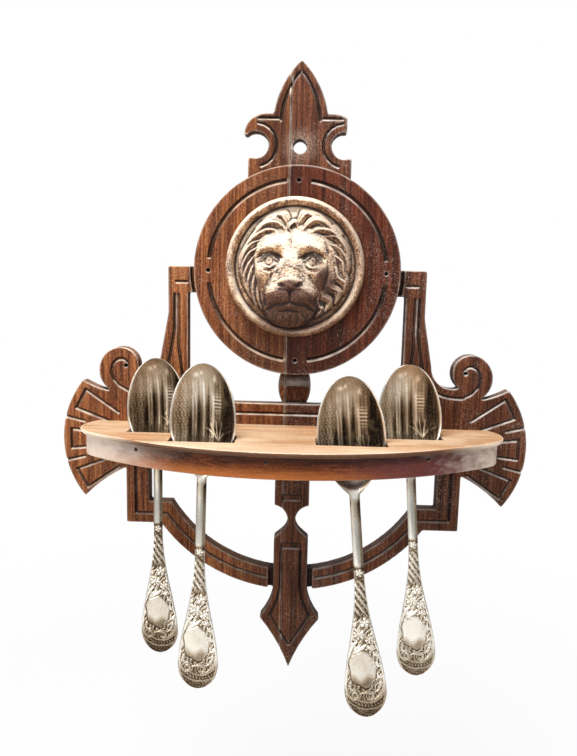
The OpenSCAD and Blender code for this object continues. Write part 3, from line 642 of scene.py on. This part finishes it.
# Painted shade in the sunk places and along the face's lines
carving = over(hollow_here.rise(-0.05, 0.27) * 0.92, carving, stain("25110a"))
carving = over((0 - hollow_here).rise(0.15, 0.7) * 0.35 * (1 - bared_and_shaded), carving, stain("f3e8d8"))
grit = Tone.node("ShaderNodeBump", None, {"Strength": 0.8, "Distance": 0.6 * MM, "Height": fine + patch})
close_material(dusty_wood, {"Base Color": carving, "Roughness": 0.62 + 0.25 * fine, "Normal": grit})
dress(medallion, dusty_wood)
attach(medallion, "rack")
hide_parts("lion_medallion")


# Cleat and glue blocks
# Plain square sticks of walnut that hold the shelf from below, out of sight.
# The cleat is screwed to the boards, and the three blocks are rubbed with glue in behind the apron.

raw_walnut = new_material("raw_walnut")
wood, height = grained("X", ("2e1a14", "523226", "74493a"))
wood, cut_shade = aged(wood, "8f6b5c", wear_and_highlight=0.3, dust=0.4)
close_wood(raw_walnut, wood, height, cut_shade)
for node in ("shelf_cleat", "glue_blocks"):
    dress(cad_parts[node], raw_walnut)


# Apron
# A strip of walnut bent round under the shelf's front, and nailed through into the glue blocks.
# It is dark with wax in the middle, and bleached pale at both ends.

apron_walnut = new_material("apron_walnut")
wood, height = grained("X", ("250e06", "55270f", "87491f"))
place = own_place()
across = place.axis("X")
level = place.axis("Z")
smear = noise(place.stretched(0.15, 1.0, 1.0), 260.0, 4.0, 0.6)
# Plum red towards the right, with a streaky painted shadow along the top under the shelf's edge, and
# orange along the lower edge on the left
wood = over(across.rise(0.005, 0.05) * 0.75, wood, stain("5f3233"))
shelf_shadow = level.rise(-0.1395, -0.1350) * (0.35 + 0.65 * smear.rise(0.35, 0.6))
wood = over(shelf_shadow * 0.75, wood, stain("1d0e0a"))
lower_left = (0 - level).rise(0.138, 0.1436) * (1 - across.rise(-0.01, 0.06))
wood = over(lower_left * 0.7, wood, stain("a9622f"))
left_end = (0 - across + 0.03 * (smear - 0.5)).rise(0.045, 0.1)
right_end = (across + 0.05 * (smear - 0.5)).rise(0.058, 0.1)
wood = over((left_end + right_end) * 0.9, wood, stain("dccabb"))
wood, cut_shade = aged(wood, "d9b48c", wear_and_highlight=0.5, dust=0.12)
close_wood(apron_walnut, wood, height, cut_shade)
apron = worn_copy("shelf_apron", voxel=0.4, rounds=3, share=0.4)
dress(apron, apron_walnut)
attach(apron, "rack")
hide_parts("shelf_apron")


# Shelf
# A thin bowed board of walnut with a moulded edge and four slots, glued on the cleat and the apron.
# Its top is worn bare and pale where spoons rub it, its faces that do not face up are painted in shade,
# and the moulding is bleached at both ends.

ARRIS_REACH = 1.0
bare_walnut = new_material("bare_walnut")
wood, height = grained("X", ("8a5a36", "bf9268", "dcbf9d"))
place = own_place()
patch = noise(place.stretched(0.4, 1.0, 1.0), 45.0, 4.0, 0.6)
wood = over(patch.rise(0.48, 0.62) * 0.5, wood, stain("b9794a"))
wood = over((1 - patch.rise(0.36, 0.5)) * 0.4, wood, stain("e0c8ac"))
forward = 0 - place.axis("Y")
wood = over(forward.rise(0.04, 0.06) * 0.35, wood, stain("e8d3bb"))
aside = place.axis("X")
aside_squared = aside * aside
# Faces that do not face up get a painted shade, which gives way to a pale colour at both ends of the
# moulding
shaded_moulding = over(aside_squared.rise(0.0036, 0.0085) * 0.95, stain("4e2812"), stain("ecd8c2"))
wood = over((1 - outlook("Z").rise(0.2, 0.55)) * 0.92, wood, shaded_moulding)
wood, cut_shade = aged(wood, "e2c4a2", wear_and_highlight=0.12, dust=0.05)
# The upper arris gets a painted highlight, but not the slots' edges
outer = forward.rise(0.046, 0.05).most(aside_squared.rise(0.0049, 0.0058))
arris_highlight = shut_in(ARRIS_REACH, inside=True).rise(0.1, 0.3) * outlook("Z").rise(0.1, 0.4) * outer
wood = over(arris_highlight * 0.55, wood, stain("f5e6d2"))
close_wood(bare_walnut, wood, height, cut_shade)
shelf = worn_copy("shelf_top", voxel=0.3, rounds=1, share=0.2)
dress(shelf, bare_walnut)
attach(shelf, "rack")
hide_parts("shelf_top")


# Pins and screws
# Cut iron nails through the apron's face, and wood screws driven in from behind the boards.
# All of them are dull and dark with age.

iron = new_material("old_iron")
spot = noise(own_place(), 900.0, 4.0)
rust = over(spot.rise(0.45, 0.7), stain("2a2422"), stain("4a2f22"))
close_material(iron, {"Base Color": rust, "Roughness": 0.5 + 0.3 * spot, "Metallic": 1 - 0.5 * spot})
for node in ("apron_pins", "cleat_screws", "roundel_screws"):
    dress(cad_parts[node], iron)


# Teaspoons
# Four plated teaspoons of one pattern, hung bowl upwards through the slots with the hollow to the front.
# The bowls are engraved and dull with tarnish, with painted glints; the stamped handles are black in
# their hollows, and painted shade and dark reflection lie on the stems, the ovals and the ends.
# Sizes across, and distances from the bowl's tip, are in millimetres.

BOWL_W, BOWL_L, BOWL_DEPTH, BOWL_RISE = 29.5, 53.0, 6.5, 33.5
STEM_W, HANDLE_W, HANDLE_L = 4.4, 18.5, 97.0
BOWL_T, HANDLE_T, ARCH, SWEEP = 1.2, 2.2, 2.0, 3.0
SPOON_L = BOWL_L + HANDLE_L
SHELF_Z = -131.5
FRONT_CELLS, BACK_CELLS, RINGS = 84, 36, 460
ORNAMENT_AT, OVAL_AT = 81.0, 128.0
END_X, END_AT = 1.0, 134.5


def ease(t):
    """A smooth step from 0 to 1."""
    t = np.clip(t, 0, 1)
    return t * t * (3 - 2 * t)


def spoon_half(d):
    """Half width of a spoon at a distance from its bowl's tip."""
    u = d / BOWL_L
    upper = np.sqrt(np.clip(1 - (1 - 2 * u) ** 2, 0, 1))
    bowl = BOWL_W / 2 * np.where(u < 0.5, upper, 1 - (2 * u - 1) ** 2)
    v = (d - BOWL_L) / HANDLE_L
    broad = 0.86
    flare = np.maximum((v - 0.33) / 0.567, 0) ** 1.15
    spread = STEM_W + (HANDLE_W - STEM_W) * ease(flare)
    end = np.sqrt(np.clip(1 - (np.maximum(v - broad, 0) / (1 - broad)) ** 2.5, 0, 1))
    return np.where(d <= BOWL_L, np.maximum(bowl, STEM_W / 2 * ease(3 * u)), spread / 2 * end)


def blossom(x, d, at, r, petals):
    """One stamped flower: petals round a boss."""
    turn = np.arctan2(d - at[1], x - at[0])
    far = np.hypot(x - at[0], d - at[1]) / r
    petal = np.sqrt(np.clip(1 - far**2, 0, 1)) * (0.7 + 0.3 * np.cos(petals * turn + at[0]))
    return np.maximum(1.1 * petal * (0.5 + 0.5 * np.clip(far * 2, 0, 1)), np.exp(-((far / 0.26) ** 2)))


# Strokes of the ornament: the points they run through, and their half width
leaf_strokes = [
    ([(-2.6, 115.0), (-5.2, 117.4), (-6.9, 123.0)], 0.9),
    ([(-1.2, 116.6), (-4.0, 119.2), (-6.4, 126.0)], 0.7),
    ([(0.8, 116.8), (-1.4, 118.4), (-3.6, 120.4)], 0.8),
    ([(5.0, 115.6), (7.4, 121.0), (8.3, 130.6)], 1.0),
    ([(4.4, 117.4), (3.0, 118.2), (2.0, 117.2)], 0.8),
    ([(7.2, 120.0), (5.4, 121.4), (4.4, 120.2)], 0.9),
    ([(8.0, 125.0), (6.2, 126.4), (5.6, 124.6)], 0.9),
    ([(8.2, 130.0), (6.4, 131.6), (5.6, 130.0)], 0.9),
    ([(-4.2, 108.6), (-4.6, 112.0), (-3.6, 114.6)], 0.7),
    ([(3.4, 108.0), (4.6, 110.4), (3.8, 112.0)], 0.7),
]
scroll_strokes = [
    ([(-8.2, 127.0), (-8.8, 133.0), (-8.0, 138.6), (-5.6, 141.6),
      (-3.5, 140.0), (-4.6, 138.2), (-6.0, 139.4)], 0.75),
    ([(-2.6, 139.0), (0.6, 138.4), (3.2, 139.6), (2.6, 141.6), (0.6, 141.3)], 0.75),
    ([(8.3, 131.0), (8.4, 135.5), (6.6, 139.5), (3.8, 141.8)], 0.85),
    ([(6.9, 133.4), (5.8, 137.0), (3.8, 138.6)], 0.6),
    ([(-6.8, 135.0), (-6.0, 137.0), (-4.4, 137.4)], 0.6),
]


def handle_relief(x, d, half):
    """Stamped ornament on a handle's face: reeds, flowers, leaves and scrolls round a plain oval."""
    edge = np.abs(x) / np.maximum(half, 0.3)
    # Reeds that run down from the upper left, each with fine ribs
    slant = (0.82 * x - 0.57 * d) * math.tau
    reeds = (0.5 + 0.5 * np.cos(slant / 2.2)) * (0.8 + 0.2 * np.cos(slant / 0.55))
    lump = reeds * swell(x, d, (0, 95.6), (9, 8.2), 0, 6)
    # A knot of blossom at the top, and a spray of larger flowers below the reeds
    for at, r, petals in (((0, 84.6), 1.9, 5), ((1.2, 106.5), 2.6, 5), ((-1.6, 111.5), 3.1, 8),
                          ((2.8, 114.0), 2.4, 6), ((-3.4, 107.0), 1.4, 4)):
        lump = np.maximum(lump, blossom(x, d, at, r, petals))
    for points, width in leaf_strokes + scroll_strokes:
        near = stroke(x, d, points, width, 0.3)[0]
        lump = np.maximum(lump, np.sqrt(np.clip(1.05 - near**2, 0, 1)))
    # Two plain ridges and two rows of beads round the end: radius, beads, half width and height
    turn = np.arctan2(x - END_X, d - END_AT)
    far = np.hypot(x - END_X, d - END_AT)
    low = ease((d - 138.5) / 1.5)
    for ring, beads, width, high in ((8.6, 0, 0.45, 0.8), (10.2, 44, 0.5, 0.8),
                                     (11.7, 0, 0.4, 0.8), (12.9, 60, 0.4, 0.6)):
        beaded = 0.5 + 0.5 * np.cos(turn * beads)
        lump = np.maximum(lump, high * beaded * np.exp(-(((far - ring) / width) ** 2)) * low)
    # Curled leaves fill the ground between the flowers, and ribbed curls the ground below the oval
    curl = np.sin(0.9 * d + 1.4 * np.sin(0.8 * x)) * 1.6
    leaves = 0.5 + 0.5 * np.cos(math.tau * (0.42 * x + 0.28 * d) + curl)
    leaves *= 0.75 + 0.25 * np.cos(math.tau * (0.9 * d - 0.7 * x))
    lump = np.maximum(lump, 0.85 * leaves * ease((d - 103.0) / 2.0) * (1 - low))
    for at, gap in (((-4.7, 139.4), 1.25), ((2.4, 140.2), 1.1), ((6.6, 136.6), 1.2)):
        off = np.hypot(x - at[0], d - at[1])
        ribs = (0.5 + 0.5 * np.cos(math.tau * off / gap)) * np.clip((4.2 - off) / 1.0, 0, 1)
        lump = np.maximum(lump, 0.75 * ribs)
    crumbs = 0.5 + 0.5 * np.sin(x * 3.1 + 1.7 * np.sin(d * 1.3)) * np.sin(d * 2.7 + 2.0 * np.sin(x * 1.9))
    lump = np.maximum(lump, 0.5 * crumbs)
    # A thin ridge along both edges
    lump = np.maximum(lump, 0.85 * np.exp(-(((edge - 0.93) / 0.06) ** 2)) * (d > ORNAMENT_AT + 3))
    # The plain oval, uneven and faintly domed, with leaf tips lapping over its right side
    wide = 6.3 + 0.5 * np.sin(0.55 * d + 0.5 * x)
    tall = 8.7 + 0.6 * np.sin(0.9 * x + 1.0)
    oval = np.hypot((x + 0.6 - 0.06 * (d - OVAL_AT)) / wide, (d - OVAL_AT) / tall)
    plain = np.clip((1.0 - oval) * 9, 0, 1)
    lapped = np.where(x > 2.5, lump > 0.55, False)
    rim = np.exp(-(((oval - 1.04) / 0.05) ** 2))
    inside = (oval < 1.0) & ~lapped
    lump = np.where(inside, 0.55 * plain + 0.12 * (1 - oval), np.maximum(lump, 0.4 * rim))
    return lump * ease((d - ORNAMENT_AT) / 2.0), plain * inside


def bowl_engraving_and_glints(x, d):
    """How dull a bowl's hollow is from place to place, with reeds and grasses engraved bright in it and
    painted glints near its tip.
    """
    dull = 0.5 + 0.2 * ease((x - 2) / 8) + 0.14 * ease((d - 14) / 12)
    dull -= 0.2 * swell(x, d, (-2.5, 11.0), (6.0, 7.0))
    streaks = np.sin(x * 2.9 + 0.4 * np.sin(d * 0.35)) * np.sin(x * 1.3 + 2.0)
    dull += 0.14 * streaks * ease((d - 5) / 6)
    for at, size in (((-2.4, 25.0), (0.9, 9.0)), ((1.6, 24.0), (0.9, 10.0)), ((10.2, 20.0), (2.0, 12.0)),
                     ((6.8, 31.0), (5.0, 3.5)), ((-6.2, 29.0), (0.8, 6.0))):
        dull += 0.32 * swell(x, d, at, size, 0, 3)
    squiggle = np.clip(np.sin(x * 4.2 + 2.2 * np.sin(d * 1.1)) * np.sin(d * 2.3), 0, 1)
    bright = 0.5 * squiggle * swell(x, d, (-9.5, 20.0), (3.6, 11.0), 0, 3)
    comb = np.clip(np.sin(d * 4.2), 0, 1) * swell(x, d, (5.6, 18.5), (2.2, 5.0), 0, 5)
    bright = np.maximum(bright, 0.6 * comb)
    for foot in (-5.4, -4.0, -0.4, 3.3, 3.9):
        reed = cut(x, d, [(foot, 34.0), (foot + 0.3, 22.0), (foot - 0.1, 9.0 + abs(foot))], 0.24)
        bright = np.maximum(bright, 0.45 * reed)
    for tip in ((0.5, 29.5), (2.5, 27.0), (5.0, 25.6), (8.0, 26.0), (10.8, 27.6), (12.2, 30.0)):
        blade = cut(x, d, [(6.4, 35.0), (0.5 * (6.4 + tip[0]), 31.5), tip], 0.32)
        bright = np.maximum(bright, 0.5 * blade)
    # Painted glints near the tip
    for at, size in (((-3.4, 5.2), (1.2, 1.0)), ((-1.2, 4.4), (0.6, 0.8)), ((4.6, 7.0), (0.7, 1.6))):
        bright = np.maximum(bright, 0.5 * swell(x, d, at, size) * (0.7 + 0.3 * np.sin(x * 7 + d * 3)))
    return np.clip(dull - bright, 0.08, 1)


around = FRONT_CELLS + BACK_CELLS
spoon, turn_at, way_at = grid_sheet("spoon", around, RINGS)
share = (way_at + 1) / 2
# More rings go to the ornament than to the bowl and the plain stem, and the last ones crowd at the end
dist = np.interp(share, [0, 0.06, 0.27, 0.34, 1.0], [0, 1.6, BOWL_L, 83.0, SPOON_L])
crowded = np.clip((1 - share) / 0.05, 0, 1) ** 0.6
dist = np.where(share > 0.95, SPOON_L - (SPOON_L - dist) * crowded, dist)
spot = (turn_at + 1) / 2 * around
front = spot <= FRONT_CELLS
cross = np.where(front, -1 + 2 * spot / FRONT_CELLS, 1 - 2 * (spot - FRONT_CELLS) / BACK_CELLS)
half = spoon_half(dist)
x = half * cross
u = np.clip(dist / BOWL_L, 0, 1)
v = np.clip((dist - BOWL_L) / HANDLE_L, 0, 1)
hollowed = np.clip(1 - (2 * u - 1) ** 2, 0, 1) ** 0.8 * (1 - 0.85 * ease((u - 0.8) / 0.2))
depth = np.where(dist < BOWL_L, BOWL_DEPTH * hollowed, 0)
thick = np.where(dist < BOWL_L, BOWL_T, BOWL_T + (HANDLE_T - BOWL_T) * ease(4 * v))
forward = np.where(dist < BOWL_L, 0, -ARCH * np.sin(np.pi * v) - SWEEP * v * v)
flat = np.where(dist < BOWL_L, 8.0, 2.0 + 4.0 * ease((v - 0.3) / 0.2))
swell_out = np.sqrt(np.clip(1 - np.abs(cross) ** flat, 0, 1))
relief, plain = handle_relief(x, dist, half)
relief = relief * front
body = thick * (0.3 + 0.2 * (1 - cross**2)) * swell_out
stamped = 0.55 * ease((dist - ORNAMENT_AT) / 3.0) * front
face = -(body - stamped * swell_out) - 0.75 * relief * swell_out
y = forward + depth * (1 - cross**2) + np.where(front, face, body)
# The bowl's hollow is dull, but for its rim and its narrow foot
in_bowl = front * ease((47.0 - dist) / 6.0) * ease((0.96 - np.abs(cross)) / 0.05)
tarnish_and_painted_light = in_bowl * bowl_engraving_and_glints(x, dist)
# So are the oval, most in its lower part as a painted dark reflection, and the end of the handle, with
# tarnish and a painted dark reflection
tarnish_and_painted_light += front * (0.12 + 0.42 * ease((dist - 129.5) / 5.0 + 0.2 * np.sin(x * 0.9))) * plain
tarnish_and_painted_light += front * 0.36 * ease((dist - 132.0) / 9.0) * (1 - plain)
on_foot = ease((dist - 42.0) / 4.0) * (1 - ease((dist - BOWL_L) / 3.0))
tarnish_and_painted_light += 0.35 * front * on_foot * ease((np.abs(cross) - 0.55) / 0.25)
# The round stem is brown along its right side as painted shade, and darker as painted shadow where the
# shelf shades it
on_stem = front * ease((dist - 52.0) / 3.0) * (1 - ease((dist - ORNAMENT_AT) / 4.0))
tarnish_and_painted_light += on_stem * (0.5 * ease((cross - 0.2) / 0.4) + 0.25 * ease((-0.7 - cross) / 0.2))
tarnish_and_painted_light += 0.35 * on_stem * (1 - ease((dist - 54.0) / 12.0))
# The ornament's ground is nearly black, a little less so at the end
sunk = ease((dist - ORNAMENT_AT) / 2.0) * front * (1 - plain) * np.clip(1.3 - relief / 0.55, 0, 1)
sunk *= 1 - 0.4 * ease((dist - 137.0) / 4.0)
set_points(spoon, x, y, BOWL_RISE - dist)
keep_values(spoon, "tarnish_and_painted_light", np.clip(tarnish_and_painted_light + 0.76 * sunk, 0, 1))
bpy.ops.object.mode_set(mode="EDIT")
bpy.ops.mesh.select_all(action="SELECT")
bpy.ops.mesh.remove_doubles(threshold=0.002 * MM)
bpy.ops.mesh.dissolve_degenerate(threshold=0.002 * MM)
bpy.ops.mesh.normals_make_consistent(inside=False)
bpy.ops.object.mode_set(mode="OBJECT")
bpy.ops.object.shade_smooth()

silver = new_material("tarnished_silver")
place = own_place()
tarnish_and_painted_light_here = kept_value("tarnish_and_painted_light")
bloom = noise(place, 120.0, 4.0, 0.6)
rub = noise(place.stretched(1.0, 1.0, 0.08), 2600.0, 2.0)
etched = noise(place, 1500.0, 3.0, 0.7) - 0.5
dull = tarnish_and_painted_light_here + 0.3 * (bloom - 0.5) + 0.16 * (rub - 0.5) + 0.9 * etched * tarnish_and_painted_light_here
stops = [(0.02, stain("ece6da")), (0.4, stain("ab9b84")), (0.7, stain("5c4b39")), (0.98, stain("1b1510"))]
metal = Tone.node("ShaderNodeValToRGB", {"stops": stops}, {"Fac": dull})
metal = over(bloom.rise(0.55, 0.8) * 0.25, metal, stain("a8946f"))
wavy = Tone.node("ShaderNodeBump", None, {"Strength": 0.15, "Distance": 0.1 * MM, "Height": rub + bloom})
gloss = 0.16 + 0.3 * dull + 0.1 * rub
close_material(silver, {"Base Color": metal, "Metallic": 1.0, "Roughness": gloss, "Normal": wavy})
dress(spoon, silver)

# Each spoon: its place along the shelf, its rim's distance from the wall, its lean and swing in degrees,
# how far it has sunk into its slot, its size against the others and how much duller it is
hung = {
    "outer_left": (-63.0, 25.0, 0.7, 0.0, -1.7, 0.95, 0.08),
    "inner_left": (-39.5, 40.5, -0.7, 0.0, 0.0, 1.0, 0.0),
    "inner_right": (26.0, 40.5, 5.0, 1.5, 5.2, 1.035, 0.04),
    "outer_right": (54.0, 25.0, 4.0, 0.0, 0.0, 1.0, -0.06),
}
for name, (at_x, rim, lean, swing, sink, size, duller) in hung.items():
    copy = bpy.data.objects.new("teaspoon_" + name, spoon.data.copy())
    bpy.context.scene.collection.objects.link(copy)
    kept = copy.data.attributes["tarnish_and_painted_light"].data
    here = np.zeros(len(copy.data.vertices), np.float32)
    kept.foreach_get("value", here)
    kept.foreach_set("value", here + np.float32(duller) * (here > 0.06))
    turned = Matrix.Rotation(math.radians(-lean), 4, "Y") @ Matrix.Rotation(math.radians(-swing), 4, "X")
    seat = Matrix.Translation((0, 0, -sink * MM)) @ Matrix.Scale(size, 4)
    copy.data.transform(Matrix.Translation((at_x * MM, -rim * MM, SHELF_Z * MM)) @ turned @ seat)
    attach(copy, name + "_spoon")
    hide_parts("spoon_" + name)
bpy.data.objects.remove(spoon)


# Studio
# A pale floor well below the hanging rack, soft lamps, and the camera where the photograph was taken.
# The camera sees the floor and the room as white.

FOCAL_PX = 632.0
FRAME_PX = 756
SENSOR = 36.0
CAMERA_AT = (0.0039, -0.3109, -0.0656)
LIT_AT = Vector((0.0, 0.0, -0.11))
FLOOR_Z = -0.45
WHITE = (1.0, 1.0, 1.0, 1.0)
turn, dip, tilt = (math.radians(a) for a in (-1.3, 7.97, 1.26))
ahead = Vector((math.sin(turn) * math.cos(dip), math.cos(turn) * math.cos(dip), -math.sin(dip)))
right = Vector((math.cos(turn), -math.sin(turn), 0.0))
up = right.cross(ahead)
across = right * math.cos(tilt) + up * math.sin(tilt)
upward = up * math.cos(tilt) - right * math.sin(tilt)
lens = bpy.data.cameras.new("camera")
lens.lens = FOCAL_PX * SENSOR / FRAME_PX
lens.sensor_width = SENSOR
lens.clip_start = 0.01
camera = bpy.data.objects.new("camera", lens)
camera.matrix_world = Matrix((across, upward, -ahead)).transposed().to_4x4()
camera.location = CAMERA_AT
bpy.context.scene.collection.objects.link(camera)
bpy.context.scene.camera = camera

for name, place, size, watts in (("key", (-0.12, -0.32, 0.55), 0.35, 9.0),
                                 ("front", (-0.55, -0.8, 0.05), 0.5, 4.5),
                                 ("side", (0.7, -0.6, 0.1), 0.5, 2.0)):
    lamp = bpy.data.lights.new(name, "AREA")
    lamp.energy = watts
    lamp.size = size
    holder = bpy.data.objects.new(name, lamp)
    holder.location = place
    aim = LIT_AT - Vector(place)
    holder.rotation_euler = aim.to_track_quat("-Z", "Y").to_euler()
    bpy.context.scene.collection.objects.link(holder)

world = bpy.data.worlds.new("studio")
world.use_nodes = True
world.node_tree.nodes.clear()
Tone.tree = world.node_tree
seen = Tone.node("ShaderNodeLightPath")
mirrored = Tone.node("ShaderNodeLightPath", out=3)
aside = Tone.node("ShaderNodeTexCoord").axis("X")
# Metal mirrors a bright room on the left and a dim one on the right
room = 0.25 + mirrored * (0.55 - 0.7 * aside.rise(0.05, 0.6))
strength = room + seen * (1 - room)
sky = Tone.node("ShaderNodeBackground", None, {"Color": WHITE, "Strength": strength})
end = world.node_tree.nodes.new("ShaderNodeOutputWorld")
world.node_tree.links.new(sky.socket, end.inputs["Surface"])
bpy.context.scene.world = world

bpy.ops.object.select_all(action="DESELECT")
bpy.ops.mesh.primitive_plane_add(size=6.0, location=(0.0, 0.0, FLOOR_Z))
floor = bpy.context.object
floor.name = "floor"
pale_floor = new_material("pale_floor")
matt = {"Base Color": (0.9, 0.9, 0.9, 1.0), "Roughness": 0.9}
paper = Tone.node("ShaderNodeBsdfPrincipled", None, matt)
glow = Tone.node("ShaderNodeEmission", None, {"Color": WHITE})
white = Tone.node("ShaderNodeLightPath") * (0.88 + 0.12 * own_place().length().rise(0.2, 0.7))
seen_floor = Tone.node("ShaderNodeMixShader", None, {0: white, 1: paper, 2: glow})
floor_end = pale_floor.node_tree.nodes.new("ShaderNodeOutputMaterial")
pale_floor.node_tree.links.new(seen_floor.socket, floor_end.inputs["Surface"])
dress(floor, pale_floor)

bpy.context.scene.view_settings.view_transform = "Standard"
